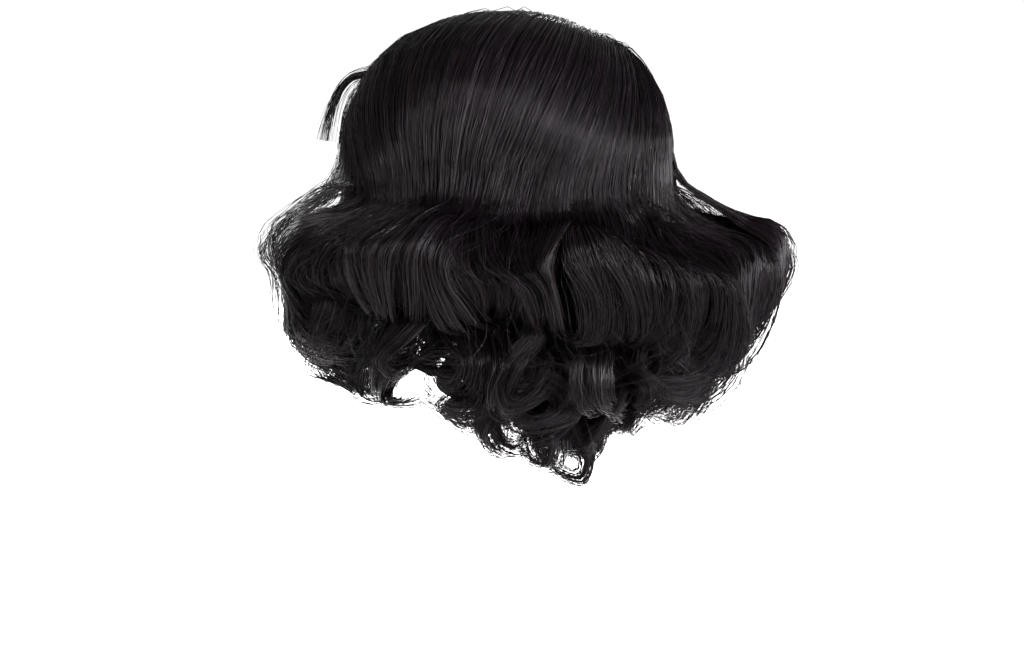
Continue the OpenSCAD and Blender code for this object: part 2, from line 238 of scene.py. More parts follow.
def depth_of(is_front):
    return np.where(is_front, FACE_DEPTH, HALF_WIDTH)


def height_of(is_below):
    return np.where(is_below, BELOW, TOP)


def on_sphere(n, off):
    """A point on the head for a unit direction n, moved off along the surface's normal."""
    scale = np.stack([np.full(n.shape[:-1], HALF_WIDTH), depth_of(n[..., 1] < 0), height_of(n[..., 2] < 0)], -1)
    p = n * scale
    p[..., 1] += CENTRE_Y
    p[..., 2] += CENTRE_Z
    return p + unit(n / scale) * np.asarray(off)[..., None]


def direction(t, z):
    """The unit direction of angle t and height z."""
    t = np.radians(t)
    h = z - CENTRE_Z
    reach = height_of(h < 0)
    level = np.sqrt(np.clip(1 - (h / reach) ** 2, 0, 1))
    return np.stack([level * np.sin(t), -level * np.cos(t), h / reach + 0 * t], -1)


def on_head(t, z, off):
    return on_sphere(direction(t, z), off)


def outward(t):
    t = np.radians(t)
    return np.stack([np.sin(t), -np.cos(t), 0 * t], -1)


def sideways(t):
    t = np.radians(t)
    return np.stack([np.cos(t), np.sin(t), 0 * t], -1)


def smooth(x):
    """0 below 0, 1 above 1, and a smooth step between."""
    x = np.clip(x, 0, 1)
    return x * x * (3 - 2 * x)


def folded(t):
    """The angle from the face, the same on both sides."""
    t = np.asarray(t) % 360
    return np.where(t > 180, 360 - t, t)


def soften(points, lo, hi, times):
    """Averages each point from lo to hi along axis 1 with its neighbours, in place."""
    for _ in range(times):
        points[:, lo:hi] = (points[:, lo - 1:hi - 1] + 2 * points[:, lo:hi] + points[:, lo + 1:hi + 1]) / 4


# ---------------------------------------------------------------- meshes
TUBE_SIDES = 3


def mesh_object(name, vertices, quads, triangles, materials, quad_tone=None, triangle_tone=None):
    mesh = bpy.data.meshes.new(name)
    n_quads, n_triangles = len(quads), len(triangles)
    corners = np.concatenate([np.ravel(quads), np.ravel(triangles)])
    starts = np.concatenate([np.arange(n_quads) * 4, n_quads * 4 + np.arange(n_triangles) * 3])
    mesh.vertices.add(len(vertices))
    mesh.vertices.foreach_set("co", (np.asarray(vertices) * MM).astype(np.float32).ravel())
    mesh.loops.add(len(corners))
    mesh.loops.foreach_set("vertex_index", corners.astype(np.int32))
    mesh.polygons.add(len(starts))
    mesh.polygons.foreach_set("loop_start", starts.astype(np.int32))
    mesh.polygons.foreach_set("use_smooth", np.ones(len(starts), bool))
    for material in materials:
        mesh.materials.append(material)
    if quad_tone is not None:
        mesh.polygons.foreach_set("material_index", np.concatenate([quad_tone, triangle_tone]).astype(np.int32))
    mesh.update(calc_edges=True)
    obj = bpy.data.objects.new(name, mesh)
    scene.collection.objects.link(obj)
    return obj


def skin_quads(rings, sides, start=0):
    """The quads between rings of points, as (ring, side) numbers flattened."""
    j = np.arange(sides)
    j1 = (j + 1) % sides
    r = start + (np.arange(rings - 1) * sides)[:, None]
    return np.stack([r + j, r + j1, r + sides + j1, r + sides + j], -1).reshape(-1, 4)


def strand_tubes(P, radius, ref):
    """Closed thin tubes along P (strand, point, xyz)."""
    n, k, _ = P.shape
    tangent = unit(np.gradient(P, axis=1))
    across = unit(ref - (ref * tangent).sum(-1, keepdims=True) * tangent)
    other = np.cross(tangent, across)
    a = 2 * np.pi * np.arange(TUBE_SIDES) / TUBE_SIDES
    rings = P[:, :, None] + radius[:, :, None, None] * (
        np.cos(a)[:, None] * across[:, :, None] + np.sin(a)[:, None] * other[:, :, None])
    first = np.arange(n) * k * TUBE_SIDES
    last = first + (k - 1) * TUBE_SIDES
    quads = (first[:, None, None] + skin_quads(k, TUBE_SIDES)[None]).reshape(-1, 4)
    root_cap = np.stack([first, first + 2, first + 1], -1)
    tip_cap = np.stack([last, last + 1, last + 2], -1)
    return rings.reshape(-1, 3), quads, np.concatenate([root_cap, tip_cap])


class Bundle:
    """Collects the strands of one piece."""

    def __init__(self):
        self.parts = []

    def add(self, P, radius, ref):
        self.parts.append((P, radius, ref))

    def build(self, name, node_name, share):
        vertices, quads, triangles, quad_tone, triangle_tone = [], [], [], [], []
        count = 0
        for P, radius, ref in self.parts:
            v, q, t = strand_tubes(P, radius, ref)
            tone = rng.choice(len(FIBRES), len(P), p=share)
            vertices.append(v)
            quads.append(q + count)
            triangles.append(t + count)
            quad_tone.append(np.repeat(tone, len(q) // len(P)))
            triangle_tone.append(np.concatenate([tone, tone]))
            count += len(v)
        obj = mesh_object(name, np.concatenate(vertices), np.concatenate(quads), np.concatenate(triangles),
                          FIBRES, np.concatenate(quad_tone), np.concatenate(triangle_tone))
        add_hair(obj, node_name)


def add_hair(obj, *node_names):
    """Every piece of hair rides on the wig and replaces its CAD solid."""
    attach(obj, "wig")
    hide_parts(*node_names)


# ---------------------------------------------------------------- the flow of the hair
PART_X, PART_Y0, PART_Y1 = -33.0, -80.0, 28.0
PART_DRIFT = 3            # how much further to the right the parting ends
PART_OFF = 2.9            # strands start this high over the head
CROWN_OFF = 12.5          # as crown_hair in the CAD model
TOP_EXTRA = 3.5           # a little more height over the top

# how far along the parting, 0 at the face to 1 at the crown, the strands of angle t start
LEFT_T = np.array([36, 50, 70, 95, 130, 160, 185])
LEFT_U = np.array([0.00, 0.10, 0.30, 0.55, 0.82, 0.97, 1.0])
RIGHT_T = np.array([185, 215, 240, 265, 290, 310, 324])
RIGHT_U = np.array([1.0, 0.97, 0.85, 0.62, 0.36, 0.14, 0.0])
# extra fullness of the crown at angle t
RAISED_T = [0, 50, 90, 130, 190, 222, 262, 310, 360]
RAISED = [2, 8, 5, 0, 0, 3, 3, 2, 2]


def part_direction(u):
    """The parting, from the hairline (0) to the crown (1)."""
    x = PART_X - PART_DRIFT * u
    y = PART_Y0 + (PART_Y1 - PART_Y0) * u
    depth = depth_of(y < CENTRE_Y)
    z = np.sqrt(np.clip(1 - (x / HALF_WIDTH) ** 2 - ((y - CENTRE_Y) / depth) ** 2, 0, 1))
    return unit(np.stack([x / HALF_WIDTH, (y - CENTRE_Y) / depth, z], -1))


def part_share(t):
    return np.where(t < 185, np.interp(t, LEFT_T, LEFT_U), np.interp(t, RIGHT_T, RIGHT_U))


def raised(t, s):
    """Extra offset over the crown: s is 0 at the parting and 1 at the curls."""
    return np.interp(t % 360, RAISED_T, RAISED) * np.sin(np.pi * np.clip(1.25 - s, 0, 1))


def start_height(t):
    """The height at which the crown's hair leaves the head."""
    return np.interp(folded(t), [36, 50, 62, 75], [46, 38, 29, 26])


def crown_path(t, off, k, to_z):
    """From the parting over the head to angle t and height to_z: points (strand, k, xyz)."""
    n = len(t)
    u = np.clip(part_share(t) + rng.normal(0, 0.035, n), 0, 1)
    root = part_direction(u)
    side = np.where((t > 185), -1.0, 1.0)
    root = unit(root + np.stack([side * rng.uniform(0.004, 0.03, n), 0 * u, 0 * u], -1))
    end = direction(t, to_z)
    dip = np.interp(folded(t), [36, 44, 56, 70], [0.13, 0.11, 0.04, 0.0]) * rng.uniform(0.0, 1.25, n)
    s = np.linspace(0, 1, k)[None, :, None]
    angle = np.arccos(np.clip((root * end).sum(-1), -1, 1))[:, None, None]
    d = (np.sin((1 - s) * angle) * root[:, None] + np.sin(s * angle) * end[:, None]) / np.sin(angle)
    d[..., 2] -= dip[:, None] * np.sin(np.pi * s[..., 0])
    # a gentle combed sweep, the same for neighbours
    sweep = 0.05 * np.sin(np.radians(2 * t + 40))[:, None] * np.sin(np.pi * s[..., 0])
    d = unit(d - sweep[..., None] * sideways(t)[:, None])
    rise = smooth(s[..., 0] / 0.28)
    height = PART_OFF + (off[:, None] - PART_OFF) * rise
    height = height + raised(t[:, None], s[..., 0]) * rise * (off[:, None] / CROWN_OFF)
    return on_sphere(d, height + TOP_EXTRA * smooth((d[..., 2] - 0.3) / 0.5) * rise)


# one slow field of sine waves that pushes neighbouring curls the same way
WAVE_LENGTHS = (96, 84, 74, 66, 60, 54, 50, 46)
WAVES = []
wave_rng = np.random.default_rng(4)
for length in WAVE_LENGTHS:
    along = unit(wave_rng.normal(0, 1, 3) * np.array([1, 1, 1.25]))
    WAVES.append((2 * np.pi / length * along, wave_rng.uniform(0, 2 * np.pi),
                  unit(wave_rng.normal(0, 1, 3)) * length / 17))

CLEAR = 4.2               # hair below the crown stays this far outside the cap's foundation
TAB_CLEAR = 9.5           # and this much more where the ear tabs swing
TAB_T0, TAB_T1 = 54, 98


def tumble(P):
    """Pushes everything below the crown about, and then keeps it outside the cap."""
    depth, height = depth_of(P[..., 1] < CENTRE_Y), height_of(P[..., 2] < CENTRE_Z)
    far = (np.sqrt((P[..., 0] / HALF_WIDTH) ** 2 + ((P[..., 1] - CENTRE_Y) / depth) ** 2
                   + ((P[..., 2] - CENTRE_Z) / height) ** 2) - 1) * HALF_WIDTH
    weight = smooth((32 - P[..., 2]) / 40) * smooth((far - 8) / 16)
    push = sum(np.sin((P * k).sum(-1) + phase)[..., None] * a for k, phase, a in WAVES)
    P = P + push * weight[..., None]

    t, z = np.arctan2(P[..., 0], CENTRE_Y - P[..., 1]), P[..., 2]
    level = np.sqrt(np.clip(1 - ((z - CENTRE_Z) / height_of(z < CENTRE_Z)) ** 2, 0.05, 1))
    scalp = level / np.sqrt((np.sin(t) / HALF_WIDTH) ** 2 + (np.cos(t) / depth_of(np.cos(t) > 0)) ** 2)
    from_face = np.degrees(np.abs(t))
    tab = smooth((from_face - TAB_T0) / 6) * smooth((TAB_T1 - from_face) / 6)
    clear = scalp + CLEAR + TAB_CLEAR * tab * smooth((2 - z) / 26)
    clear = clear * smooth((z + 86) / 9) * (z < 24)
    r = np.hypot(P[..., 0], P[..., 1] - CENTRE_Y)
    wider = np.where(r < clear, clear / np.maximum(r, 1), 1.0)
    return np.stack([P[..., 0] * wider, CENTRE_Y + (P[..., 1] - CENTRE_Y) * wider, z], -1)


class Lock:
    """A lock's centre line below the crown: a flare from the head, then a barrel curl.

    t and z0 are where it leaves the head, off how far from it. reach is how far out the curl goes,
    rho its radius, zc its centre's height, and yaw turns its plane. The curl starts at phi0 and
    goes down through turn degrees, shrinks, and moves aside by pitch.
    """

    FLARE_POINTS, CURL_POINTS, POINTS = 15, 46, 60

    def __init__(self, t, off, reach, rho, zc, yaw, turn, shrink=0.35, phi0=58, wide=12.5, thick=5,
                 tip=0.3, z0=None, pitch=6, flare=0.16, wave=0.0):
        self.t, self.off, self.wide, self.thick, self.tip = t, off, wide, thick, tip
        self.z0 = float(start_height(np.array(t))) if z0 is None else z0
        at_t = np.array([float(t)])
        start = on_head(at_t, np.array([self.z0]), np.array([off]))[0]
        lower = on_head(at_t, np.array([self.z0 - 4.0]), np.array([off]))[0]
        down = unit(lower - start)
        out, aside = outward(at_t)[0], sideways(at_t)[0]
        yaw = math.radians(yaw)
        curl_out = math.cos(yaw) * out + math.sin(yaw) * aside
        curl_axis = np.cross(UP, curl_out)
        self.centre = np.array([0, CENTRE_Y, 0]) + out * (reach - rho) + UP * zc

        progress = np.linspace(0, 1, self.CURL_POINTS)
        phi = np.radians(phi0) - np.radians(turn) * progress
        radius = rho * (1 - shrink * progress ** 1.3)
        curl = (self.centre + (pitch * progress)[:, None] * curl_axis
                + radius[:, None] * (np.cos(phi)[:, None] * curl_out + np.sin(phi)[:, None] * UP))
        # a Bezier curve from the head to the curl
        gap = np.linalg.norm(curl[0] - start)
        handle_1 = start + down * gap * flare
        handle_2 = curl[0] - unit(curl[1] - curl[0]) * gap * 0.42
        q = np.linspace(0, 1, self.FLARE_POINTS + 1)[:-1, None]
        bridge = ((1 - q) ** 3 * start + 3 * (1 - q) ** 2 * q * handle_1
                  + 3 * (1 - q) * q ** 2 * handle_2 + q ** 3 * curl[0])
        line = np.concatenate([bridge, curl])[None]
        soften(line, 1, line.shape[1] - 1, 3)
        line = line[0]

        run = np.r_[0, np.cumsum(np.linalg.norm(np.diff(line, axis=0), axis=1))]
        self.curl_starts = run[self.FLARE_POINTS] / run[-1]
        self.u = np.linspace(0, 1, self.POINTS)
        at = self.u * run[-1]
        self.g = np.stack([np.interp(at, run, line[:, i]) for i in range(3)], -1)
        swell = wave * np.sin(2 * np.pi * at / 58 + 0.6) * smooth(at / 25) * (1 - smooth((at - 80) / 50))
        self.g = self.g + out * swell[:, None]
        tangent = unit(np.gradient(self.g, axis=0))
        w = smooth(self.u * 2.2)[:, None]
        across = unit((1 - w) * aside + w * curl_axis)
        self.across = unit(across - (across * tangent).sum(-1, keepdims=True) * tangent)
        self.through = unit(np.cross(self.across, tangent))
        if (self.through[0] * out).sum() < 0:
            self.through = -self.through

    def frame_at(self, u):
        """Centre line, width direction and thickness direction at u."""
        return [np.stack([np.interp(u, self.u, rows[:, i]) for i in range(3)], -1)
                for rows in (self.g, self.across, self.through)]

    def half_width(self, u):
        return self.wide * np.interp(u, [0, 0.35, 0.6, 1], [0.78, 1.12, 0.95, self.tip])

    def half_thick(self, u):
        return self.thick * np.interp(u, [0, 0.2, 0.5, 0.8, 1], [0.75, 1.0, 1.25, 1.0, 0.55])

    def strands(self, n, k, crown_k=12, from_part=True, root_z=62.0, clump=0.45, frizz=1.0, fan=0.08,
                swing=16.0, radius=0.24, short=0.25, size=14, fill=0.0):
        """n strands of k points each, with crown_k more from the parting or from root_z."""
        a, b = rng.uniform(-1, 1, n), rng.uniform(-1, 1, n)
        n_clumps = max(4, n // size)
        clump_a, clump_b = rng.uniform(-1, 1, n_clumps), rng.uniform(-1, 1, n_clumps)
        near = np.argmin((a[:, None] - clump_a) ** 2 + 0.4 * (b[:, None] - clump_b) ** 2, 1)
        end = 1 - short * rng.random(n) ** 1.5
        u = np.linspace(0, 1, k)[None, :] * end[:, None]
        line, across, through = self.frame_at(u)
        gather = clump * smooth((u - 0.15) * 1.4)
        aa = a[:, None] * (1 - gather) + clump_a[near][:, None] * gather
        bb = b[:, None] * (1 - gather) + clump_b[near][:, None] * gather
        P = (line + across * (aa * self.half_width(u))[..., None]
             + through * (bb * self.half_thick(u))[..., None])
        # looser and tighter curls within the lock
        late = smooth((u - self.curl_starts) * 1.6)
        grow = fan * (rng.normal(0, 0.5, n) + rng.normal(0, 1, n_clumps)[near])[:, None] * late
        P = P + (P - self.centre) * grow[..., None]
        # some turn inside the others and fill the roll
        inside = np.where(rng.random(n) < fill, -rng.uniform(0.1, 0.6, n), 0.0)[:, None]
        P = P + (P - self.centre) * (inside * smooth((u - 0.08) * 3))[..., None]
        # small groups of strands turn away from the others
        q = np.radians(swing) * (rng.normal(0, 0.35, n) + rng.normal(0, 1, n_clumps)[near])[:, None] * late
        x, y = P[..., 0] - self.centre[0], P[..., 1] - self.centre[1]
        P = np.stack([self.centre[0] + x * np.cos(q) - y * np.sin(q),
                      self.centre[1] + x * np.sin(q) + y * np.cos(q), P[..., 2]], -1)
        # soft wave along each strand
        for size_mm, turns in ((0.7, 2.1), (0.25, 5.5)):
            phase = rng.uniform(0, 2 * np.pi, (n, 2))
            f = turns * rng.uniform(0.7, 1.3, n)[:, None]
            w = size_mm * frizz * (0.3 + 1.2 * u)
            P = P + across * (w * np.sin(2 * np.pi * f * u + phase[:, :1]))[..., None]
            P = P + through * (w * 0.8 * np.sin(2 * np.pi * f * u + phase[:, 1:]))[..., None]
        # the stretch above the lock, from the parting or from under the crown's hair
        from_axis = np.linalg.norm(self.g[0] - np.array([0, CENTRE_Y, self.z0]))
        t = self.t + np.degrees(a * self.half_width(0) / from_axis)
        off = self.off + b * self.half_thick(0)
        if from_part:
            above = crown_path(t, np.maximum(off, 4.0), crown_k, np.full(n, self.z0))
        else:
            s = np.linspace(0, 1, crown_k)[None, :]
            top = np.full(n, self.z0) + (root_z - self.z0) * rng.uniform(0.5, 1.0, n)
            z = top[:, None] * (1 - s) + self.z0 * s
            above = on_head(t[:, None] + 0 * z, z, 4.0 + (off[:, None] - 4.0) * smooth(s * 1.1))
        P = P + (above[:, -1] - P[:, 0])[:, None] * (1 - smooth(u * 3.5))[..., None]
        whole = np.concatenate([above[:, :-1], P], 1)
        K = whole.shape[1]
        soften(whole, max(1, crown_k - 4), min(K - 1, crown_k + 3), 2)
        whole = tumble(whole)
        taper = np.interp(np.linspace(0, 1, K), [0, 0.03, 0.75, 1], [0.6, 1, 0.9, 0.3])[None, :]
        radii = radius * rng.uniform(0.8, 1.2, n)[:, None] * taper
        return whole, radii, np.concatenate([np.repeat(across[:, :1], crown_k - 1, 1), across], 1)

    def mass(self, wide, deep, thick, to=0.8, sides=14, rings=26):
        """Rings of a dense body along the lock, set towards the curl's centre."""
        u = np.linspace(0.0, to, rings)
        line, across, through = self.frame_at(u)
        a = 2 * np.pi * np.arange(sides) / sides
        fade = np.interp(u, [0, 0.02, to - 0.25, to], [0.5, 1, 0.75, 0.08])
        w, h = self.half_width(u) * wide * fade, self.half_thick(u) * thick * fade
        outside = np.where(((line - self.centre) * through).sum(-1) > 0, 1.0, -1.0)
        line = line - through * (outside * self.half_thick(u) * deep)[:, None]
        rough = 1 + 0.10 * np.cos(5 * a)[None, :]
        return tumble(line[:, None] + across[:, None] * (w[:, None] * np.cos(a) * rough)[..., None]
                      + through[:, None] * (h[:, None] * np.sin(a) * rough)[..., None])


def mass_object(name, bodies, node_name):
    vertices, quads, triangles, count = [], [], [], 0
    for body in bodies:
        rings, sides, _ = body.shape
        fan = np.arange(1, sides - 1)
        first = np.stack([0 * fan, fan + 1, fan], -1)
        last = (rings - 1) * sides + np.stack([0 * fan, fan, fan + 1], -1)
        vertices.append(body.reshape(-1, 3))
        quads.append(skin_quads(rings, sides, count))
        triangles.append(np.concatenate([first, last]) + count)
        count += rings * sides
    obj = mesh_object(name, np.concatenate(vertices), np.concatenate(quads), np.concatenate(triangles), [HAIR_MASS])
    add_hair(obj, node_name)


# ---------------------------------------------------------------- the locks
MAIN = ["left_front_curl", "left_side_curl", "left_back_curl", "back_left_curl",
        "back_right_curl", "right_back_curl", "right_side_curl", "right_front_curl"]
FIRST_T, LAST_T, T_PER_PIECE = 36, 324, 36
FIRST_NAPE_T, T_PER_NAPE_PIECE = 112, 34


def main_of(t):
    return MAIN[int(np.clip((t - FIRST_T) // T_PER_PIECE, 0, len(MAIN) - 1))]


def nape_of(t):
    return "nape_curl_%d" % int(np.clip((t - FIRST_NAPE_T) // T_PER_NAPE_PIECE + 1, 1, 4))


# the big rolls
REACH, RADIUS, HEIGHT, YAW, TURN = 1, 2, 3, 4, 5
ROLLS = np.array([
    # angle, reach, radius, centre height, yaw, turn
    [36,   124,   38,  -46,   14,   205],
    [50,   146,   44,  -54,    0,   195],
    [72,   148,   38,  -36,  -38,   215],
    [88,   143,   30,  -24,  -50,   240],
    [102,  141,   25,  -18,   16,   250],
    [116,  142,   24,  -17,  -30,   255],
    [132,  141,   23,  -19,   34,   250],
    [146,  143,   25,  -24,  -16,   250],
    [164,  146,   28,  -32,   34,   240],
    [182,  148,   33,  -40,  -20,   230],
    [198,  151,   39,  -44,   20,   215],
    [214,  153,   44,  -42,    0,   205],
    [230,  156,   44,  -38,   10,   200],
    [252,  154,   46,  -44,  -20,   200],
    [268,  150,   44,  -40,   24,   215],
    [286,  146,   42,  -48,  -30,   215],
    [304,  140,   42,  -44,   20,   205],
    [324,  124,   38,  -46,  -12,   200],
], float)


def roll(t, column):
    return float(np.interp(t, ROLLS[:, 0], ROLLS[:, column]))


bundles, masses = {}, {}


def ringlet(kind, name, lock, n, k, mass=(0.62, 0.85, 0.32), **how):
    """Adds the strands of one lock to piece name_kind, and its dense body to name_mass."""
    bundle = bundles.setdefault((name, kind), Bundle())
    bundle.add(*lock.strands(max(6, int(n * STRAND_SHARE)), k, **how))
    if mass:
        masses.setdefault(name, []).append(lock.mass(*mass))


# outer layer, combed all the way from the parting: broad rolls with the same swell side by side
N_OUTER = 32
for i in range(N_OUTER):
    t = 40 + (320 - 40) * i / (N_OUTER - 1)
    # low where single strands arch over the roll, and under the sheet of hair that bridges a gap
    low = float(np.interp(t, [40, 62, 80, 178, 190, 268, 282], [15, 14, 0, 0, 20, 20, 0]))
    lock = Lock(t, 9.6, roll(t, REACH) + rng.normal(0, 2), roll(t, RADIUS) + rng.normal(0, 2.5),
                roll(t, HEIGHT) + rng.normal(0, 3), roll(t, YAW) + rng.normal(0, 12),
                roll(t, TURN) + rng.normal(10, 35), thick=5, tip=0.45, wide=17,
                pitch=rng.normal(0, 16), wave=2.5 if low < 2 else 0.5,
                shrink=rng.uniform(0.25, 0.5), flare=rng.uniform(0.1, 0.5), phi0=58 - 1.6 * low,
                z0=float(start_height(np.array(t))) + rng.uniform(-9, 1) * (low < 2) - low)
    ringlet("outer", main_of(t), lock, 190, 25, crown_k=10, fill=0.3, clump=0.6, size=16, fan=0.05, swing=13)

# the sheet of straight hair over the gap
for t in (224, 230, 236):
    lock = Lock(t, 11, 159 + rng.normal(0, 1), 33, -30, 0, 170, thick=1.6, wide=11, tip=0.9, flare=0.03,
                phi0=55, pitch=0, z0=29)
    ringlet("outer", main_of(t), lock, 90, 14, mass=None, crown_k=9, clump=0.3, size=6, fan=0.03,
            swing=4, frizz=0.6)

# middle layer: shorter ringlets that turn every way
N_MIDDLE = 26
for i in range(N_MIDDLE):
    t = 44 + (316 - 44) * i / (N_MIDDLE - 1)
    yaw = rng.choice([-1, 1]) * rng.uniform(15, 85)
    bridged = 182 < t < 278 or t < 70
    under = float(np.interp(t, [70, 95, 185, 210], [0, 1, 1, 0]))
    lock = Lock(t, 8.0, roll(t, REACH) * 0.92 + rng.normal(0, 4),
                max(roll(t, RADIUS) * 0.58, 19) + rng.normal(0, 3),
                roll(t, HEIGHT) - 24 - 20 * under + rng.normal(0, 7), yaw, roll(t, TURN) + rng.normal(60, 35),
                wide=12, thick=6, tip=0.35, pitch=rng.normal(0, 12), shrink=0.45,
                z0=-2.0 if bridged else 26 - 22 * under)
    ringlet("under", main_of(t), lock, 100, 22, crown_k=5, from_part=False, frizz=1.3, fan=0.12, swing=20,
            root_z=30 if bridged else 50, fill=0.2)

# round curls below the rolls at the back, seen face on; the sign of the yaw is the way they turn
FACE_ON_CURLS = [
    # angle, reach, radius, centre height, yaw, turn, where the curl starts
    (92, 128, 17, -76, -70, 300, 60),
    (106, 126, 20, -84, -82, 320, 100),
    (120, 122, 18, -86, 75, 330, 110),
    (134, 124, 21, -80, -80, 320, 90),
    (148, 124, 18, -92, 86, 340, 120),
    (163, 128, 23, -82, 84, 345, 130),
    (176, 126, 19, -96, -80, 320, 100),
    (188, 130, 22, -86, 80, 330, 115),
    (201, 130, 19, -92, 78, 320, 110),
    (216, 132, 20, -88, -70, 300, 80),
    (262, 126, 20, -84, 75, 310, 100),
    (284, 122, 20, -84, -78, 320, 100),
]
for t, reach, rho, zc, yaw, turn, phi0 in FACE_ON_CURLS:
    lock = Lock(t, 12, reach, rho, zc, yaw, turn, shrink=0.45, phi0=phi0, wide=10, thick=6, tip=0.4,
                z0=4, pitch=-6)
    ringlet("under", main_of(t), lock, 110, 27, crown_k=4, from_part=False, root_z=26, frizz=1.1,
            fan=0.10, swing=10, fill=0.35)

# inner layer, close to the neck
N_INNER = 15
for i in range(N_INNER):
    t = 50 + (310 - 50) * i / (N_INNER - 1)
    yaw = rng.choice([-1, 1]) * rng.uniform(15, 85)
    lock = Lock(t, 13.5, roll(t, REACH) * 0.78 + rng.normal(0, 4), roll(t, RADIUS) * 0.5 + rng.normal(0, 2.5),
                roll(t, HEIGHT) - 30 + rng.normal(0, 5), yaw, 280 + rng.normal(0, 40),
                wide=12, thick=7, tip=0.35, pitch=rng.normal(0, 12), z0=6, shrink=0.5)
    ringlet("under", main_of(t), lock, 85, 22, crown_k=4, from_part=False, root_z=30, frizz=1.5,
            fan=0.12, swing=22, fill=0.3)

# nape curls: they hang in towards the neck, lowest at the middle
NAPE_T = [112, 135, 158, 180, 202, 224, 248]
NAPE_REACH = [104, 98, 90, 84, 92, 100, 102]
NAPE_Z = [-98, -112, -127, -126, -112, -94, -86]
NAPE_LAYERS = [
    # count, offset, how much nearer the neck, how much higher, curl radius
    (15, 15, 0, 0, 16),
    (14, 13, 13, 8, 14),
    (12, 12, 26, 18, 14),
    (9, 16, -8, 26, 16),
]
for count, off, nearer, lift, rho in NAPE_LAYERS:
    for i in range(count):
        t = 117 + (243 - 117) * (i + 0.5) / count
        yaw = (-1 if t < 140 else rng.choice([-1, 1, 1])) * rng.uniform(45, 95)
        reach = np.interp(t, NAPE_T, NAPE_REACH) - nearer
        lock = Lock(t, off, reach + rng.normal(0, 3), rho + rng.normal(0, 2.5),
                    np.interp(t, NAPE_T, NAPE_Z) + lift + rng.normal(0, 5), yaw, 320 + rng.normal(0, 40),
                    shrink=0.45, wide=9.5, thick=5.5, tip=0.25, z0=-30, pitch=rng.normal(0, 8),
                    phi0=rng.uniform(40, 110))
        ringlet("curl", nape_of(t), lock, 78, 23, mass=(0.8, 0.3, 0.7), crown_k=4, from_part=False, root_z=-6,
                frizz=1.2, fan=0.10, swing=14, fill=0.45)

# airy strands that stand off the rolls
AIRY = [
    # from angle, to angle, count, how far out, how high, strands
    (40, 66, 13, 17, 18, 14),
    (75, 205, 10, 5, 4, 12),
    (255, 310, 6, 5, 3, 12),
]
for t0, t1, count, out, lift, n in AIRY:
    for t in np.linspace(t0, t1, count):
        lock = Lock(t, 11.0, roll(t, REACH) + out * rng.uniform(0.3, 1), roll(t, RADIUS) + out * 0.6,
                    roll(t, HEIGHT) + lift * rng.uniform(0.4, 1), roll(t, YAW) + rng.normal(0, 10),
                    roll(t, TURN) * rng.uniform(0.7, 1), thick=5, tip=0.9, wide=9,
                    pitch=rng.normal(0, 14), wave=2.0)
        ringlet("outer", main_of(t), lock, n, 26, mass=None, frizz=1.6, fan=0.05, swing=14, radius=0.19,
                clump=0.75, short=0.5, size=4)

# single loose hairs over the rolls
N_LOOSE = 44
for t in np.linspace(44, 316, N_LOOSE):
    lock = Lock(t, 12.5, roll(t, REACH) + rng.uniform(0, 6), roll(t, RADIUS),
                roll(t, HEIGHT) + rng.uniform(-25, 8), rng.uniform(-80, 80), rng.uniform(140, 260),
                thick=5, tip=1.2, wide=14, pitch=rng.normal(0, 20), wave=2.0)
    ringlet("outer", main_of(t), lock, 10, 24, mass=None, frizz=4.0, fan=0.12, swing=40, radius=0.12, clump=0.0,
            short=0.5, size=2, crown_k=5, from_part=False, root_z=50)

# more strands over the crown, tucked under the rolls
CROWN = {"crown_hair_left": (36, 120), "crown_hair_back": (120, 240), "crown_hair_right": (240, 324)}
CROWN_STRANDS, CROWN_POINTS, TUCKED_Z = 1250, 12, 6.0
for name, (t0, t1) in CROWN.items():
    n = int(CROWN_STRANDS * STRAND_SHARE)
    t = rng.uniform(t0, t1, n)
    off = rng.uniform(6.5, 12.6, n)
    P = crown_path(t, off, CROWN_POINTS, np.full(n, TUCKED_Z))
    phase = rng.uniform(0, 6.28, n)[:, None]
    s = np.linspace(0, 1, CROWN_POINTS)[None, :]
    P = P + sideways(t)[:, None] * (0.5 * np.sin(9 * s + phase))[..., None]
    taper = np.interp(s[0], [0, 0.04, 0.9, 1], [0.6, 1, 0.9, 0.4])[None, :]
    radii = 0.26 * rng.uniform(0.8, 1.2, n)[:, None] * taper
    bundle = bundles.setdefault((name, "over"), Bundle())
    bundle.add(P, radii, np.broadcast_to(sideways(t)[:, None], P.shape))

for (name, kind), bundle in bundles.items():
    # the under-layers and nape curls take the darker mix, as painted shade
    bundle.build(name + "_" + kind, name, PAINTED_SHADE_SHARE if kind in ("under", "curl") else LIT_SHARE)
for name, bodies in masses.items():
    mass_object(name + "_mass", bodies, name)


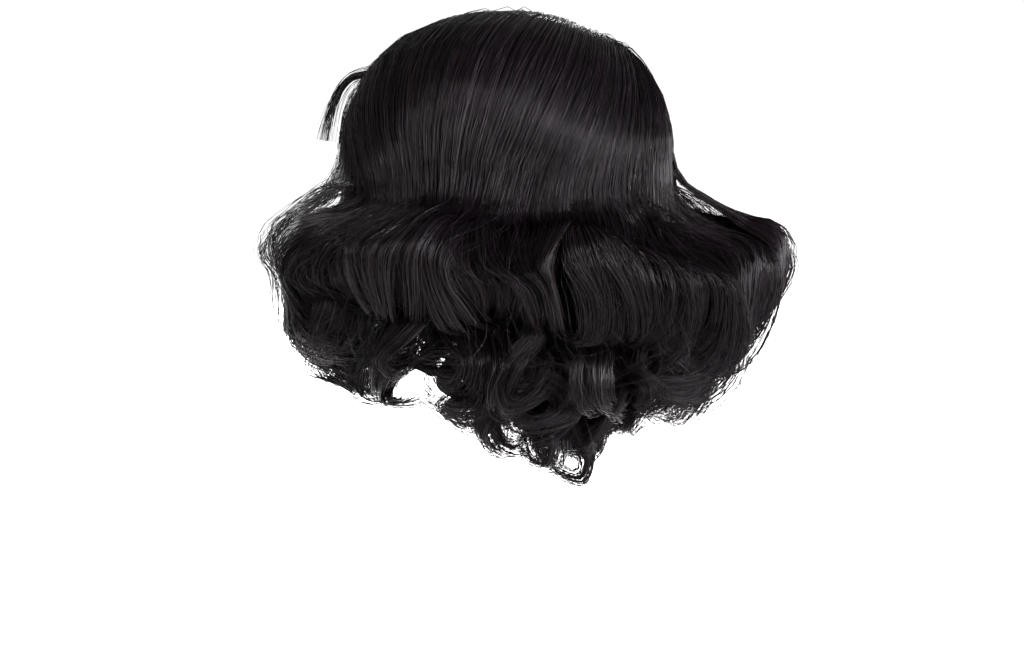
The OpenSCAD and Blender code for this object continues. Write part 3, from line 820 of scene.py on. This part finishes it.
def crown_mass():
    """The dense hair under the crown's top strands, a closed shell that dips at the parting."""
    rows, columns, wall = 26, 72, 1.0
    parting = on_sphere(part_direction(np.linspace(0, 1, 60)), np.zeros(60))
    t = np.linspace(0, 360, columns, endpoint=False)
    edge = np.interp(folded(t), [0, 20, 36, 50, 62, 75], [60, 58, 50, 40, 24, 14])
    edge_angle = np.degrees(np.arcsin((edge - CENTRE_Z) / height_of(edge < CENTRE_Z)))

    def layer(sunk):
        """Rows of points from the edge to the apex, sunk by so much under the outer skin."""
        out = []
        for row in range(rows):
            angle = np.radians(edge_angle + (89.2 - edge_angle) * row / (rows - 1))
            z = CENTRE_Z + height_of(angle < 0) * np.sin(angle)
            scalp = on_head(t, z, 0 * t)
            far = np.min(np.linalg.norm(scalp[:, None] - parting[None], axis=-1), 1)
            fuller = 0.7 * np.interp(t, RAISED_T, RAISED) * smooth(far / 40) * smooth((CENTRE_Z + TOP - z) / 55)
            out.append(on_head(t, z, 1.2 + 6.0 * smooth(far / 45) + fuller - sunk))
        return np.array(out).reshape(-1, 3)

    inner_start = rows * columns
    outer_quads = skin_quads(rows, columns)
    inner_quads = outer_quads[:, ::-1] + inner_start
    j = np.arange(columns)
    j1 = (j + 1) % columns
    rim = np.stack([j1, j, inner_start + j, inner_start + j1], -1)
    fan = np.arange(1, columns - 1)
    cap = (rows - 1) * columns + np.stack([0 * fan, fan, fan + 1], -1)
    add_hair(mesh_object("crown_mass", np.concatenate([layer(0.0), layer(wall)]),
                         np.concatenate([outer_quads, inner_quads, rim]),
                         np.concatenate([cap, cap[:, ::-1] + inner_start]), [HAIR_MASS]),
             "crown_hair_left", "crown_hair_right", "crown_hair_back")


def fringe():
    """The lock that leaves the fringe at the wearer's left, on the same line as in the CAD model."""
    n, k, lead_k = int(70 * STRAND_SHARE) + 12, 22, 7
    s = np.linspace(0, 1, k)
    root = on_head(np.array([30.0]), np.array([78.0]), np.array([17.0]))[0]
    line = root + np.stack([40 * s - 9 * s ** 2, -8.5 * np.sin(np.radians(100 * s)),
                            4 * np.sin(np.radians(150 * s)) - 42 * s ** 2], -1)
    side = unit(np.cross(np.gradient(line, axis=0), UP))[None]
    up = unit(np.cross(side[0], unit(np.gradient(line, axis=0))))[None]
    a, b = rng.normal(0, 0.5, n), rng.normal(0, 0.5, n)
    spread = np.interp(s, [0, 0.3, 1], [5, 3.4, 2.2])
    P = (line[None] + side * (a[:, None] * spread)[..., None] + up * (b[:, None] * spread * 0.7)[..., None]
         + side * (rng.normal(0, 3.0, n)[:, None] * s ** 2)[..., None]
         + up * (rng.normal(0, 2.5, n)[:, None] * s ** 2)[..., None])
    # it comes from the parting, over the fringe
    start = on_sphere(part_direction(np.clip(rng.uniform(0.1, 0.4, n), 0, 1)), np.full(n, 6.0))
    q = np.linspace(0, 1, lead_k + 1)[None, :-1, None]
    middle = unit(np.stack([np.full(n, 0.12) + rng.normal(0, .05, n), np.full(n, -0.70) + rng.normal(0, .03, n),
                            np.full(n, 0.70)], -1))
    middle = on_sphere(middle, np.full(n, 13.5))
    lead = (1 - q) ** 2 * start[:, None] + 2 * q * (1 - q) * middle[:, None] + q ** 2 * P[:, :1]
    whole = np.concatenate([lead, P], 1)
    soften(whole, 2, 14, 6)
    taper = np.interp(np.linspace(0, 1, whole.shape[1]), [0, 0.1, 0.7, 1], [0.6, 1, 0.9, 0.3])[None, :]
    bundle = Bundle()
    bundle.add(whole, 0.24 * rng.uniform(0.7, 1.2, n)[:, None] * taper,
               np.broadcast_to(np.array([0.3, 0.2, 1.0]), whole.shape))
    bundle.build("fringe_lock_strands", "fringe_lock", LIT_SHARE)


crown_mass()
fringe()

# ---------------------------------------------------------------- floor
FLOOR_DROP, FLOOR_SIZE = 0.22, 80
floor_material = patterned("pale_floor", (0.84, 0.84, 0.84), (0.88, 0.88, 0.88), 3, 0.9, 0.0)
shader_of(floor_material).inputs["Emission Color"].default_value = (1, 1, 1, 1)
shader_of(floor_material).inputs["Emission Strength"].default_value = 0.2
shader_of(floor_material).inputs["Specular IOR Level"].default_value = 0.0
bpy.ops.mesh.primitive_plane_add(size=FLOOR_SIZE, location=(0, 0, cad_box[0][2] - FLOOR_DROP))
floor = bpy.context.object
floor.name = "floor"
floor.data.materials.append(floor_material)
